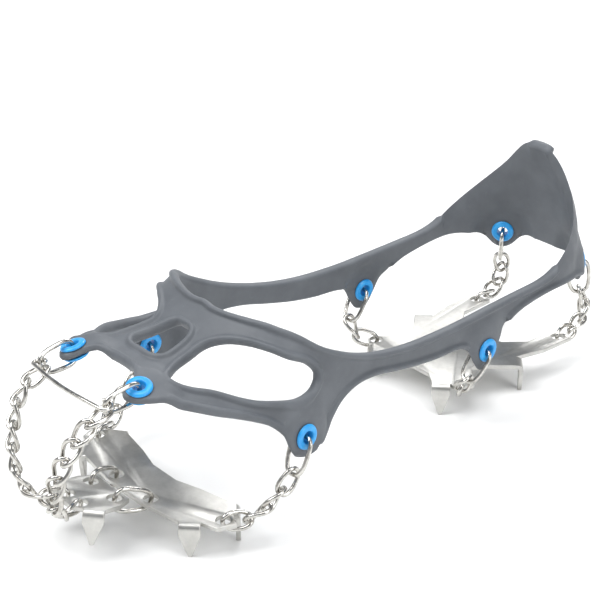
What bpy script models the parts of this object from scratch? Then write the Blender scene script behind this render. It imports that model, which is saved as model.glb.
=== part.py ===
"""Chain ice cleat for one boot: an elastomer harness, eyelets, connectors, chains and spike plates.

Lengths are in millimetres until MM turns them to metres. The toe points to -Y, up is +Z, and the
origin is on the centre line at mid-length, in the plane that the boot's tread stands on.
"""
import bpy
import bmesh
import math
import numpy as np
from mathutils import Matrix, Vector
from mathutils.geometry import delaunay_2d_cdt

MM = 0.001

# Harness: elastomer moulding stretched over the boot
EDGE_HEIGHT = 1.9         # where the rounded edge's two faces meet, above the boot
RIM_HEIGHT = 4.9          # crown of the raised rim along the edges
WEB_HEIGHT = 3.5          # shallow channel between the rims
LUG_LIFT = 2.4            # how far an eyelet lug stands off the boot
LUG_HEIGHT = 3.2          # thickness of a lug
LUG_FLAT_RADIUS = 10.0    # flat pad around an eyelet
LUG_BLEND_RADIUS = 17.0
EDGE_STEP = 4.2           # spacing of the mesh along the harness edges
FACE_STEP = 8.0           # spacing of the mesh on the open faces
RINGS = (1.5, 3.6)        # mesh rows that follow the edges, by distance from the edge

# Eyelets
EYELET_HOLE = 2.7
EYELET_BARREL = 3.5
EYELET_FLANGE = 5.5
EYELET_DOME = 1.25
FIT_GAP = 0.3

# Wire parts
CHAIN_WIRE = 0.95         # wire radius
CHAIN_HALF_LENGTH = 6.0   # to the middle of the wire
CHAIN_HALF_WIDTH = 3.5
CONNECTOR_WIRE = 1.0
CONNECTOR_LENGTH = 16.5   # eyelet to chain, middle of wire to middle of wire
CONNECTOR_LEAN = 0.12     # most that a connector leans out of its lug's plane
CONNECTOR_HALF_WIDTH = 5.7
CONNECTOR_END_WIDTH = 4.4
BAR_WIRE = 0.9
BAR_EYE = 2.6
HOOK_OFFSET = 2.5         # the first toe link sits this far towards the boot on its connector
BAR_OFFSET = 1.5          # and the toe bar's eye this far outwards

# Spike plates
PLATE = 2.0               # sheet thickness
SPIKE_TIP = 1.7           # width of the blunt tip
SPIKE_DROP = 14.0         # from a plate's middle to the tip
BEND_RADIUS = 2.0
CHAIN_HOLE = 3.2

# The plates' half outlines, chain holes, levels, and the line across the boot on which each rocks
FRONT_HALF = [(5.0, -136.8), (9.0, -133.6), (14.9, -127), (14.9, -120), (12, -113.2)]
FRONT_HOLES = {"chain": (4.6, -132.0), "link": (8.3, -118.0)}
FOREFOOT_HALF = [(12, -107.6), (33, -104.4), (39.4, -98), (47, -96), (50, -88), (43.4, -84.8),
                 (37, -79.6), (20, -83), (8, -86.5)]
FOREFOOT_HOLES = {"link": (12.1, -102.8), "chain": (43.9, -90.3)}
HEEL_HALF = [(12, 57.5), (19.5, 52.2), (25.9, 57.9), (28.6, 57.5), (33.0, 60.9), (33.4, 66), (21, 77),
             (27, 86), (34.4, 94), (28, 100.4), (31.5, 116), (32, 135.5), (22, 135.5), (21, 116), (13, 106)]
HEEL_HOLES = {"arch": (28.7, 62.3), "heel": (27.0, 130.8)}
FRONT_LEVEL, FRONT_TILT = 7.0, -8.0
SOLE_LEVEL = 1.0
FRONT_ROCK, FOREFOOT_ROCK, HEEL_ROCK = -125.0, -96.5, HEEL_HOLES["arch"][1]

# The boot's surface, as sections along its length: (place, half width, height, level of widest)
HEEL_CENTRE = 113.0
HEEL_RADIUS = 36.0
HARNESS_END = HEEL_CENTRE + HEEL_RADIUS * math.pi / 2
LAST_PLACE = (-150, -145, -138, -130, -120, -110, -94, -74, -62, -50, -40, -20, 0, 20, 45, 70, 90, 113, 170)
LAST_WIDTH = (0, 22, 32, 39, 44.5, 47.5, 49.5, 49.5, 49, 48, 46.5, 43.5, 41, 39, 37.5, 36.5, 36, 36, 36)
LAST_HEIGHT = (8, 20, 26, 30, 33, 35, 36.5, 40, 47, 56, 62, 72, 80, 85, 88, 88, 88, 88, 88)
LAST_LEVEL = (24, 24, 24, 24, 24, 24, 24, 24, 24, 24, 23, 21, 18, 15, 13, 13, 13, 13, 13)
LAST_SQUARE = (2.5, 2.5, 2.5, 2.5, 2.5, 2.5, 2.5, 2.5, 2.5, 2.5, 2.5, 2.5, 2.6, 2.7, 2.8, 2.9, 3, 3, 3)
BELOW_LEVEL = 30.0
LATERAL_SCALE = 0.75      # millimetres on the boot for one degree around it, roughly

# Outlines of the harness's left half: (place along the boot, degrees down from the top)
OPENING_EDGE = ((-60, 0), (-60.5, 8), (-59.5, 16), (-57, 25), (-53.5, 33.5), (-49, 42), (-39, 54),
                (-27, 62), (-14, 67), (2, 70), (20, 71), (40, 71), (64, 70.5), (84, 70), (100, 69.5),
                (110, 68), (118, 65), (126, 61.5), (133, 58), (140, 54), (146.5, 49.5), (152, 44.5),
                (157, 40.5), (163, 38.2), (HARNESS_END, 37.8))
LOWER_EDGE = ((HARNESS_END, 75), (161, 75), (155, 76.5), (150.5, 79.3), (146, 80.3), (141.5, 79.5),
              (137, 77), (130, 75), (120, 74), (108, 74), (94, 75), (84, 76.5), (76, 79.5), (71, 84.5),
              (66.5, 88.5), (60, 88.7), (55.5, 85), (51.5, 80.5), (44, 79), (32, 79), (18, 78.5), (4, 77.5),
              (-10, 76), (-22, 76), (-31, 78), (-37, 82), (-42.5, 88), (-47.5, 93.5), (-53.5, 95.5),
              (-59.5, 92), (-63, 85), (-65.5, 77), (-70, 69), (-77, 62), (-84, 56.5), (-91, 51.5),
              (-98, 45.5), (-105, 39.5), (-111.5, 35.5), (-117, 31), (-119, 25.5), (-116, 20.5),
              (-110, 17.5), (-107, 12), (-106, 6), (-105.8, 0))
CENTRE_HOLE_EDGE = ((-94, 0), (-94, 6.5), (-91.5, 10.5), (-85, 9.5), (-77, 7.5), (-73.2, 4.5), (-73, 0))
SIDE_HOLE_EDGE = ((-98.5, 27), (-94, 34), (-87, 40), (-78.5, 48.5), (-68, 57.5), (-57.5, 64.5),
                  (-48.5, 67), (-43.5, 63.5), (-46.5, 58), (-53.5, 51), (-59, 42), (-64, 33),
                  (-69.5, 24), (-75.5, 19), (-83, 19.5), (-93, 22))

# Eyelet places on that surface
EYELETS = {"toe": (-112.0, 25.5), "side": (-55.5, 82.0), "arch": (63.0, 82.5), "heel": (146.0, 74.5)}


def material(name, colour, roughness, metallic=0.0):
    """A Principled BSDF with one colour."""
    made = bpy.data.materials.new(name)
    made.use_nodes = True
    shader = made.node_tree.nodes["Principled BSDF"]
    shader.inputs["Base Color"].default_value = (*colour, 1.0)
    shader.inputs["Roughness"].default_value = roughness
    shader.inputs["Metallic"].default_value = metallic
    made.diffuse_color = (*colour, 1.0)
    return made


def add_object(name, mesh, finish, smooth=True):
    """Link a mesh as one named piece."""
    if not mesh.materials:
        mesh.materials.append(finish)
    if smooth:
        mesh.shade_smooth()
        mesh.set_sharp_from_angle(angle=math.radians(40))
    piece = bpy.data.objects.new(name, mesh)
    bpy.context.collection.objects.link(piece)
    return piece


def add_pivot(name, place):
    """An empty on a joint's axis, which carries the pieces that turn there."""
    pivot = bpy.data.objects.new(name, None)
    pivot.location = Vector(place) * MM
    bpy.context.collection.objects.link(pivot)
    bpy.context.view_layer.update()
    return pivot


def place_under(piece, pivot):
    """Parent a piece to a pivot without moving it."""
    piece.parent = pivot
    piece.matrix_parent_inverse = pivot.matrix_world.inverted()


# ---------------------------------------------------------------- the boot's surface

def section(values, place):
    """Smooth curve through a row of section values."""
    knots = np.array(LAST_PLACE, float)
    values = np.array(values, float)
    slope = np.gradient(values, knots)
    cell = np.clip(np.searchsorted(knots, place) - 1, 0, len(knots) - 2)
    width = knots[cell + 1] - knots[cell]
    t = (place - knots[cell]) / width
    start = (1 + 2 * t) * (1 - t) ** 2 * values[cell] + t * (1 - t) ** 2 * width * slope[cell]
    end = t * t * (3 - 2 * t) * values[cell + 1] + t * t * (t - 1) * width * slope[cell + 1]
    return start + end


def boot_point(place, angle):
    """Points on the boot: distance along it, and degrees down from the top."""
    turn = np.radians(angle)
    side, up = np.sin(turn), np.cos(turn)
    square = section(LAST_SQUARE, place)
    radius = (np.abs(side) ** square + np.abs(up) ** square) ** (-1 / square)
    out = section(LAST_WIDTH, place) * radius * side
    height = np.where(up > 0, section(LAST_HEIGHT, place), BELOW_LEVEL)
    around = np.maximum(place - HEEL_CENTRE, 0) / HEEL_RADIUS
    x = out * np.cos(around)
    y = np.minimum(place, HEEL_CENTRE) + out * np.sin(around)
    return np.stack([x, y, section(LAST_LEVEL, place) + height * radius * up], -1)


def boot_normal(place, angle):
    """Outward unit normals of the boot's surface."""
    step = 0.05
    along = boot_point(place + step, angle) - boot_point(place - step, angle)
    down = boot_point(place, angle + step) - boot_point(place, angle - step)
    normal = np.cross(down, along)
    return normal / np.linalg.norm(normal, axis=-1, keepdims=True)


def eyelet_frame(which, side):
    """Centre and outward normal of an eyelet."""
    place, angle = EYELETS[which]
    spot = np.array([place]), np.array([angle])
    normal = Vector(boot_normal(*spot)[0])
    centre = Vector(boot_point(*spot)[0]) + normal * (LUG_LIFT + LUG_HEIGHT / 2)
    centre.x *= side
    normal.x *= side
    return centre, normal


# ---------------------------------------------------------------- harness

def smooth_line(points, step, closed=False):
    """Catmull-Rom curve through outline points, spaced evenly, as (place, scaled angle)."""
    knots = [Vector((place, angle * LATERAL_SCALE)) for place, angle in points]
    count = len(knots)
    dense = []
    for i in range(count if closed else count - 1):
        a, b = knots[i], knots[(i + 1) % count]
        before = knots[i - 1] if closed or i > 0 else a * 2 - b
        after = knots[(i + 2) % count] if closed or i + 2 < count else b * 2 - a
        for k in range(12):
            t = k / 12
            dense.append(0.5 * ((2 * a) + (b - before) * t + (2 * before - 5 * a + 4 * b - after) * t * t
                                + (3 * a - before - 3 * b + after) * t ** 3))
    dense.append(knots[0] if closed else knots[-1])
    travelled = [0.0]
    for a, b in zip(dense, dense[1:]):
        travelled.append(travelled[-1] + (b - a).length)
    pieces = max(2, round(travelled[-1] / step))
    wanted = np.linspace(0, travelled[-1], pieces + 1)
    xs = np.interp(wanted, travelled, [p.x for p in dense])
    ys = np.interp(wanted, travelled, [p.y for p in dense])
    line = np.stack([xs, ys], 1)
    return line[:-1] if closed else line


def straight_line(start, end, step):
    """Evenly spaced points between two ends, both left out."""
    start, end = np.array(start, float), np.array(end, float)
    pieces = max(2, round(np.linalg.norm(end - start) / step))
    return start + (end - start) * (np.arange(1, pieces) / pieces)[:, None]


def edge_distance(points, edges):
    """Distance on the boot from each point to the nearest free edge."""
    best = np.full(len(points), 1e9)
    for line in edges:
        a, b = line[:-1], line[1:]
        span = b - a
        t = ((points[:, None] - a) * span).sum(-1) / (span * span).sum(-1)
        near = a + np.clip(t, 0, 1)[..., None] * span
        best = np.minimum(best, np.linalg.norm(points[:, None] - near, axis=-1).min(1))
    return best


def inside(points, loops):
    """Even-odd test of flat points against closed loops."""
    hit = np.zeros(len(points), bool)
    for loop in loops:
        a, b = loop, np.roll(loop, -1, axis=0)
        crosses = (a[:, 1] > points[:, None, 1]) != (b[:, 1] > points[:, None, 1])
        with np.errstate(divide="ignore", invalid="ignore"):
            at = a[:, 0] + (points[:, None, 1] - a[:, 1]) * (b[:, 0] - a[:, 0]) / (b[:, 1] - a[:, 1])
        hit ^= (np.sum(crosses & (points[:, None, 0] < at), axis=1) % 2).astype(bool)
    return hit


def on_boot(flat):
    """Flat pattern points to points on the boot."""
    return boot_point(flat[:, 0], flat[:, 1] / LATERAL_SCALE)


def round_edge(distance, reach):
    """0 at an edge, 1 from reach inwards, along a quarter circle."""
    t = np.clip(1 - distance / reach, 0, 1)
    return np.sqrt(1 - t * t)


def harness_faces(distance):
    """Heights of the harness's inner and outer faces above the boot."""
    inner = EDGE_HEIGHT * (1 - round_edge(distance, 1.5))
    rim = np.exp(-((distance - 2.3) / 1.5) ** 2)
    body = WEB_HEIGHT + (RIM_HEIGHT - WEB_HEIGHT) * rim
    outer = EDGE_HEIGHT + (body - EDGE_HEIGHT) * round_edge(distance, 2.3)
    return inner, outer


def lug_blend(points):
    """How much each point belongs to an eyelet's flat lug, and to which one."""
    frames = [eyelet_frame(which, 1) for which in EYELETS]
    feet = [np.array(centre - normal * (LUG_LIFT + LUG_HEIGHT / 2)) for centre, normal in frames]
    distance = np.stack([np.linalg.norm(points - foot, axis=1) for foot in feet])
    nearest = distance.argmin(0)
    reach = (LUG_BLEND_RADIUS - distance.min(0)) / (LUG_BLEND_RADIUS - LUG_FLAT_RADIUS)
    t = np.clip(reach, 0, 1)
    return t * t * (3 - 2 * t), nearest, frames


def make_harness(finish):
    """One elastomer moulding: a flat pattern meshed, laid on the boot, thickened and mirrored."""
    opening = smooth_line(OPENING_EDGE, EDGE_STEP)
    lower = smooth_line(LOWER_EDGE, EDGE_STEP)
    centre_hole = smooth_line(CENTRE_HOLE_EDGE, EDGE_STEP)
    side_hole = smooth_line(SIDE_HOLE_EDGE, EDGE_STEP, closed=True)
    heel_line = straight_line(opening[-1], lower[0], EDGE_STEP * 1.3)
    toe_line = straight_line(lower[-1], centre_hole[0], EDGE_STEP * 1.3)
    bridge_line = straight_line(centre_hole[-1], opening[0], EDGE_STEP * 1.3)
    outline = np.vstack([opening, heel_line, lower, toe_line, centre_hole, bridge_line])
    eyelet_loops = []
    for place, angle in EYELETS.values():
        turns = np.arange(12) * math.tau / 12
        spot = np.array([place]), np.array([angle])
        grow = 0.5
        across = np.linalg.norm(boot_point(spot[0], spot[1] + grow) - boot_point(spot[0], spot[1] - grow))
        along = np.linalg.norm(boot_point(spot[0] + grow, spot[1]) - boot_point(spot[0] - grow, spot[1]))
        radius = EYELET_BARREL + FIT_GAP
        eyelet_loops.append(np.stack([place + np.cos(turns) * radius / along,
                                      (angle + np.sin(turns) * radius / across) * LATERAL_SCALE], 1))
    loops = [outline, side_hole] + eyelet_loops
    free_flat = [opening, lower, centre_hole, np.vstack([side_hole, side_hole[:1]])]
    free = [on_boot(line) for line in free_flat]

    rows = [np.vstack(loops)]
    for line in free_flat:
        for ring in RINGS:
            step = np.gradient(line, axis=0)
            for way in (1, -1):
                normal = np.stack([-step[:, 1], step[:, 0]], 1) * way
                normal /= np.linalg.norm(normal, axis=1, keepdims=True)
                moved = np.linalg.norm(on_boot(line + normal) - on_boot(line), axis=1)
                flat = line + normal * (ring / moved)[:, None]
                keep = inside(flat, loops) & (edge_distance(on_boot(flat), free) > ring * 0.93)
                rows.append(flat[keep])
    for loop in eyelet_loops:
        middle = loop.mean(0)
        ring = middle + (loop - middle) * 1.75
        rows.append(ring[inside(ring, loops) & (edge_distance(on_boot(ring), free) > 1.0)])
    grid_x = np.arange(-120, HARNESS_END - 1, FACE_STEP)
    grid_y = np.arange(0, 96 * LATERAL_SCALE, FACE_STEP * 0.87)
    grid = np.array([(x + (j % 2) * FACE_STEP / 2, y) for j, y in enumerate(grid_y) for x in grid_x])
    grid = grid[(grid[:, 0] < HARNESS_END - 1) & (grid[:, 1] > 2)]
    grid = grid[inside(grid, loops)]
    rows.append(grid[edge_distance(on_boot(grid), free) > RINGS[-1] + FACE_STEP * 0.4])
    flat = np.vstack(rows)

    kept = list(range(len(rows[0])))
    laid = on_boot(flat)
    hole_edge = [on_boot(np.vstack([loop, loop[:1]])) for loop in eyelet_loops]
    near_hole = edge_distance(laid, hole_edge) < 2.0
    for i in range(len(rows[0]), len(flat)):
        if near_hole[i]:
            continue
        if np.min(np.linalg.norm(laid[kept] - laid[i], axis=1)) > EDGE_STEP * 0.3:
            kept.append(i)
    flat = flat[kept]

    edges, start = [], 0
    for loop in loops:
        edges += [(start + i, start + (i + 1) % len(loop)) for i in range(len(loop))]
        start += len(loop)
    result = delaunay_2d_cdt([Vector(p) for p in flat.tolist()], edges, [], 0, 1e-6)
    flat = np.array([tuple(v) for v in result[0]])
    triangles = np.array([face for face in result[2]])
    triangles = triangles[inside(flat[triangles].mean(1), loops)]

    used = np.unique(triangles)
    renumber = np.full(len(flat), -1)
    renumber[used] = np.arange(len(used))
    flat, triangles = flat[used], renumber[triangles]

    points = on_boot(flat)
    normals = boot_normal(flat[:, 0], flat[:, 1] / LATERAL_SCALE)
    distance = edge_distance(points, free)
    blend, nearest, frames = lug_blend(points)
    inner, outer = harness_faces(distance)
    lug_round = round_edge(distance, 1.6)
    lug_inner = LUG_LIFT + LUG_HEIGHT / 2 * (1 - lug_round)
    lug_outer = LUG_LIFT + LUG_HEIGHT / 2 * (1 + lug_round)
    inner = inner + (lug_inner - inner) * blend
    outer = outer + (lug_outer - outer) * blend
    for k, (centre, normal) in enumerate(frames):
        pick = nearest == k
        foot = np.array(centre - normal * (LUG_LIFT + LUG_HEIGHT / 2))
        drop = ((points[pick] - foot) @ np.array(normal)) * blend[pick]
        points[pick] -= drop[:, None] * np.array(normal)
        turned = normals[pick] + (np.array(normal) - normals[pick]) * blend[pick][:, None]
        normals[pick] = turned / np.linalg.norm(turned, axis=1, keepdims=True)

    free_rim = distance < 1e-3
    middle = (flat[:, 0] > HARNESS_END - 0.01) | (flat[:, 1] < 0.01)
    faces = {0: points + normals * inner[:, None], 1: points + normals * outer[:, None]}
    triangles = triangles[~free_rim[triangles].all(1)]

    shape = bmesh.new()
    verts = {}

    def vertex(i, layer, side):
        """A vertex of one face of the sheet; the edges and the centre line are shared."""
        key = (i, 1 if free_rim[i] else layer, 1 if middle[i] else side)
        if key not in verts:
            x, y, z = faces[key[1]][i] * MM
            verts[key] = shape.verts.new((0.0 if middle[i] else x * side, y, z))
        return verts[key]

    for side in (1, -1):
        for layer in (0, 1):
            for triangle in triangles.tolist():
                shape.faces.new([vertex(i, layer, side) for i in triangle])

    open_edges = [edge for edge in shape.edges if edge.is_boundary]
    for side in (1, -1):
        for which in EYELETS:
            centre = eyelet_frame(which, side)[0] * MM
            rim = [edge for edge in open_edges if (edge.verts[0].co - centre).length < 8 * MM]
            bmesh.ops.bridge_loops(shape, edges=rim)
    bmesh.ops.recalc_face_normals(shape, faces=shape.faces)
    mesh = bpy.data.meshes.new("harness")
    shape.to_mesh(mesh)
    shape.free()
    return add_object("harness", mesh, finish)


# ---------------------------------------------------------------- eyelets and wire parts

def lathe(name, profile, turns):
    """A closed ring turned from a profile of (radius, height) around Z."""
    shape = bmesh.new()
    rings = []
    for k in range(turns):
        angle = math.tau * k / turns
        rings.append([shape.verts.new((r * MM * math.cos(angle), r * MM * math.sin(angle), h * MM))
                      for r, h in profile])
    for k in range(turns):
        a, b = rings[k], rings[(k + 1) % turns]
        for i in range(len(profile)):
            j = (i + 1) % len(profile)
            shape.faces.new((a[i], b[i], b[j], a[j]))
    bmesh.ops.recalc_face_normals(shape, faces=shape.faces)
    mesh = bpy.data.meshes.new(name)
    shape.to_mesh(mesh)
    shape.free()
    return mesh


def eyelet_mesh():
    """A moulded spool: a barrel through the lug between two domed flanges."""
    face = LUG_HEIGHT / 2 + FIT_GAP
    upper = [(EYELET_HOLE, 0.9), (EYELET_HOLE + 0.3, face + EYELET_DOME * 0.7),
             (EYELET_HOLE + 1.1, face + EYELET_DOME), (EYELET_FLANGE - 0.8, face + EYELET_DOME * 0.8),
             (EYELET_FLANGE, face + EYELET_DOME * 0.2), (EYELET_BARREL - 0.25, face)]
    lower = [(r, -h) for r, h in reversed(upper)]
    return lathe("eyelet", upper + lower, 14)


def closed_wire(name, path, radius, sides=8):
    """A tube along a closed loop around its own middle."""
    path = [Vector(p) for p in path]
    count = len(path)
    shape = bmesh.new()
    rings = []
    for i, point in enumerate(path):
        tangent = (path[(i + 1) % count] - path[i - 1]).normalized()
        outward = (point - tangent * point.dot(tangent)).normalized()
        across = tangent.cross(outward)
        rings.append([shape.verts.new((point + outward * radius * math.cos(math.tau * k / sides)
                                       + across * radius * math.sin(math.tau * k / sides)) * MM)
                      for k in range(sides)])
    for i in range(count):
        a, b = rings[i], rings[(i + 1) % count]
        for k in range(sides):
            n = (k + 1) % sides
            shape.faces.new((a[k], a[n], b[n], b[k]))
    bmesh.ops.recalc_face_normals(shape, faces=shape.faces)
    mesh = bpy.data.meshes.new(name)
    shape.to_mesh(mesh)
    shape.free()
    return mesh


def rounded(value, square):
    """Signed power, which squares off an oval."""
    return math.copysign(abs(value) ** (2 / square), value)


def chain_link_mesh(start_turn, end_turn):
    """One curb link along X: an oval twisted from one end (-X) to the other."""
    path = []
    for k in range(14):
        t = math.tau * (k + 0.5) / 14
        x = CHAIN_HALF_LENGTH * rounded(math.cos(t), 2.4)
        w = CHAIN_HALF_WIDTH * rounded(math.sin(t), 2.4)
        share = (x / CHAIN_HALF_LENGTH + 1) / 2
        twist = math.radians(start_turn + (end_turn - start_turn) * share)
        path.append((x, w * math.cos(twist), w * math.sin(twist)))
    return closed_wire("chain_link", path, CHAIN_WIRE, 6)


def connector_mesh():
    """One connector along X, wide at the eyelet end (-X) and narrow at the chain end, in the XZ plane."""
    path = []
    half = CONNECTOR_LENGTH / 2
    for k in range(16):
        t = math.tau * (k + 0.5) / 16
        x = half * rounded(math.cos(t), 3)
        wide = CONNECTOR_HALF_WIDTH + (CONNECTOR_END_WIDTH - CONNECTOR_HALF_WIDTH) * (x / half + 1) / 2
        path.append((x, 0, wide * rounded(math.sin(t), 3)))
    return closed_wire("connector", path, CONNECTOR_WIRE, 6)


def frame_matrix(origin, along, normal):
    """Axes: X along, Z as near to the normal as it can be."""
    x = Vector(along).normalized()
    z = (Vector(normal) - x * Vector(normal).dot(x)).normalized()
    y = z.cross(x)
    matrix = Matrix((x, y, z)).transposed().to_4x4()
    matrix.translation = Vector(origin) * MM
    return matrix


def curve_through(points, count=200):
    """Dense smooth curve through a few points."""
    knots = [Vector(p) for p in points]
    out = []
    spans = len(knots) - 1
    for i in range(spans):
        a, b = knots[i], knots[i + 1]
        before = knots[i - 1] if i else a * 2 - b
        after = knots[i + 2] if i + 2 <= spans else b * 2 - a
        for k in range(count // spans):
            t = k / (count // spans)
            out.append(0.5 * ((2 * a) + (b - before) * t + (2 * before - 5 * a + 4 * b - after) * t * t
                              + (3 * a - before - 3 * b + after) * t ** 3))
    out.append(knots[-1])
    return out


def along_curve(curve, wanted):
    """The point at a given length along a dense curve."""
    travelled = 0.0
    for a, b in zip(curve, curve[1:]):
        step = (b - a).length
        if travelled + step >= wanted:
            return a.lerp(b, (wanted - travelled) / step)
        travelled += step
    return curve[-1] + (curve[-1] - curve[-2]).normalized() * (wanted - travelled)


def hang_chain(name, route, start_normal, end_normal, count, side, finish):
    """Twisted links in a row from a connector's end to a plate's hole.

    Neighbouring link ends stand square to each other; the first link's end stands square to
    the connector's end bar and the last link's end runs down through the plate's hole.
    """
    way_in, way_out = (route[1] - route[0]).normalized(), (route[-1] - route[-2]).normalized()
    pitch = 9.0
    for _ in range(4):
        over = CHAIN_HALF_LENGTH - pitch / 2
        first = route[0] - way_in * (CHAIN_WIRE + CONNECTOR_WIRE + 0.7 - over)
        last = route[-1] - way_out * (over - 0.3)
        curve = curve_through([first] + route[1:-1] + [last])
        total = sum((b - a).length for a, b in zip(curve, curve[1:]))
        pitch = total / count
    joints = [along_curve(curve, k * pitch) for k in range(count)] + [last]
    ways = [(b - a).normalized() for a, b in zip(joints, joints[1:])]
    normals = [(start_normal - ways[0] * start_normal.dot(ways[0])).normalized()]
    for before, after in zip(ways, ways[1:]):
        normals.append(before.rotation_difference(after) @ normals[-1])
    goal = (end_normal - ways[-1] * end_normal.dot(ways[-1])).normalized()
    left_over = math.atan2(ways[-1].dot(normals[-1].cross(goal)), normals[-1].dot(goal))
    left_over -= math.pi * round(left_over / math.pi)
    pivot = add_pivot(name + "_swing", (joints[0] + joints[1]) / 2 - ways[0] * CHAIN_HALF_LENGTH)
    extra = math.degrees(left_over) / count
    for k in range(count):
        start_turn, end_turn = (0 if k == 0 else -45), (-90 if k == count - 1 else 45)
        if side < 0:
            start_turn, end_turn = -start_turn, -end_turn
        turned = extra * k
        mesh = chain_link_mesh(turned + start_turn, turned + extra + end_turn)
        link = add_object(f"{name}_{k + 1}", mesh, finish)
        link.matrix_world = frame_matrix((joints[k] + joints[k + 1]) / 2, ways[k], normals[k])
        place_under(link, pivot)


def open_wire(name, points, radius, sides=8):
    """A bent wire with closed ends."""
    points = [Vector(p) for p in points]
    ways = [(b - a).normalized() for a, b in zip(points, points[1:])]
    tangents = [ways[0]] + [(a + b).normalized() for a, b in zip(ways, ways[1:])] + [ways[-1]]
    across = tangents[0].orthogonal().normalized()
    shape = bmesh.new()
    rings = []
    for point, tangent in zip(points, tangents):
        across = (across - tangent * across.dot(tangent)).normalized()
        up = tangent.cross(across)
        rings.append([shape.verts.new((point + across * radius * math.cos(math.tau * k / sides)
                                       + up * radius * math.sin(math.tau * k / sides)) * MM)
                      for k in range(sides)])
    for a, b in zip(rings, rings[1:]):
        for k in range(sides):
            n = (k + 1) % sides
            shape.faces.new((a[k], a[n], b[n], b[k]))
    shape.faces.new(rings[0])
    shape.faces.new(rings[-1])
    bmesh.ops.recalc_face_normals(shape, faces=shape.faces)
    mesh = bpy.data.meshes.new(name)
    shape.to_mesh(mesh)
    shape.free()
    return mesh


def toe_bar_half(end, way, normal):
    """The left half of the toe bar: an eye around a connector's end, then out to the middle."""
    centre = end + normal * BAR_OFFSET
    outward = normal.cross(way)
    if outward.x < 0:
        outward = -outward
    points = []
    for k in range(9):
        angle = math.radians(250 - 250 * k / 8)
        points.append(centre + (way * math.cos(angle) + outward * math.sin(angle)) * BAR_EYE)
    start = points[-1]
    points.append(Vector((start.x * 0.62, start.y - 1.2, start.z + 0.4)))
    points.append(Vector((start.x * 0.3, start.y - 1.9, start.z + 0.6)))
    return points


# ---------------------------------------------------------------- spike plates

def plate_mesh(name, outline, folds, drop):
    """A sheet-metal plate in the XY plane with a spike folded down along each edge listed in folds."""
    shape = bmesh.new()
    half = PLATE / 2
    top = [shape.verts.new(Vector((x, y, half)) * MM) for x, y in outline]
    bottom = [shape.verts.new(Vector((x, y, -half)) * MM) for x, y in outline]
    shape.faces.new(top)
    shape.faces.new(bottom[::-1])
    for i in range(len(outline)):
        j = (i + 1) % len(outline)
        if i not in folds:
            shape.faces.new((top[j], top[i], bottom[i], bottom[j]))
            continue
        a, b = Vector((*outline[i], 0)), Vector((*outline[j], 0))
        middle, edge = (a + b) / 2, (b - a).normalized()
        out = edge.cross(Vector((0, 0, 1)))
        rows = []
        for turn in (30, 60, 90):
            angle = math.radians(turn)
            fallen = Vector((0, 0, BEND_RADIUS * (1 - math.cos(angle))))
            spot = middle + out * BEND_RADIUS * math.sin(angle) - fallen
            rows.append((spot, angle, (b - a).length / 2))
        shoulder = middle + out * BEND_RADIUS - Vector((0, 0, BEND_RADIUS + 2.0))
        rows.append((shoulder, math.radians(90), (b - a).length / 2))
        tip = middle + out * BEND_RADIUS - Vector((0, 0, drop))
        rows.append((tip, math.radians(90), SPIKE_TIP / 2))
        last = (top[i], top[j], bottom[j], bottom[i])
        for spot, angle, reach in rows:
            lift = (Vector((0, 0, 1)) * math.cos(angle) + out * math.sin(angle)) * half
            corners = (spot - edge * reach + lift, spot + edge * reach + lift,
                       spot + edge * reach - lift, spot - edge * reach - lift)
            ring = tuple(shape.verts.new(corner * MM) for corner in corners)
            for k in range(4):
                n = (k + 1) % 4
                shape.faces.new((last[n], last[k], ring[k], ring[n]))
            last = ring
        shape.faces.new(last[::-1])
    bmesh.ops.recalc_face_normals(shape, faces=shape.faces)
    mesh = bpy.data.meshes.new(name)
    shape.to_mesh(mesh)
    shape.free()
    return mesh


def add_plate(name, outline, folds, holes, level, tilt, rock, finish):
    """A plate with its chain holes cut, laid at its level, tilted about its middle, and hung on its pivot."""
    plate = add_object(name, plate_mesh(name, outline, folds, SPIKE_DROP), finish, smooth=False)
    cutter = bmesh.new()
    for x, y in holes:
        place = Matrix.Translation(Vector((x, y, 0)) * MM)
        bmesh.ops.create_cone(cutter, cap_ends=True, segments=14, radius1=CHAIN_HOLE * MM,
                              radius2=CHAIN_HOLE * MM, depth=3 * PLATE * MM, matrix=place)
    cut_mesh = bpy.data.meshes.new(name + "_holes")
    cutter.to_mesh(cut_mesh)
    cutter.free()
    tool = bpy.data.objects.new(name + "_holes", cut_mesh)
    tool.hide_render = True
    tool.display_type = "WIRE"
    bpy.context.collection.objects.link(tool)
    punch = plate.modifiers.new("chain holes", "BOOLEAN")
    punch.operation = "DIFFERENCE"
    punch.object = tool
    middle_y = sum(y for x, y in outline) / len(outline)
    turn = Matrix.Rotation(math.radians(tilt), 4, "X")
    centre = Vector((0, middle_y, 0)) * MM
    laid = Matrix.Translation(centre + Vector((0, 0, level * MM))) @ turn @ Matrix.Translation(-centre)
    plate.matrix_world = laid
    tool.matrix_world = laid
    pivot = add_pivot(name + "_swing", (laid @ (Vector((0, rock, 0)) * MM)) / MM)
    place_under(plate, pivot)
    place_under(tool, pivot)
    return laid


def mirrored(outline):
    """An outline's other half, across the centre line."""
    return [(-x, y) for x, y in reversed(outline)]


# ---------------------------------------------------------------- the whole cleat

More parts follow.
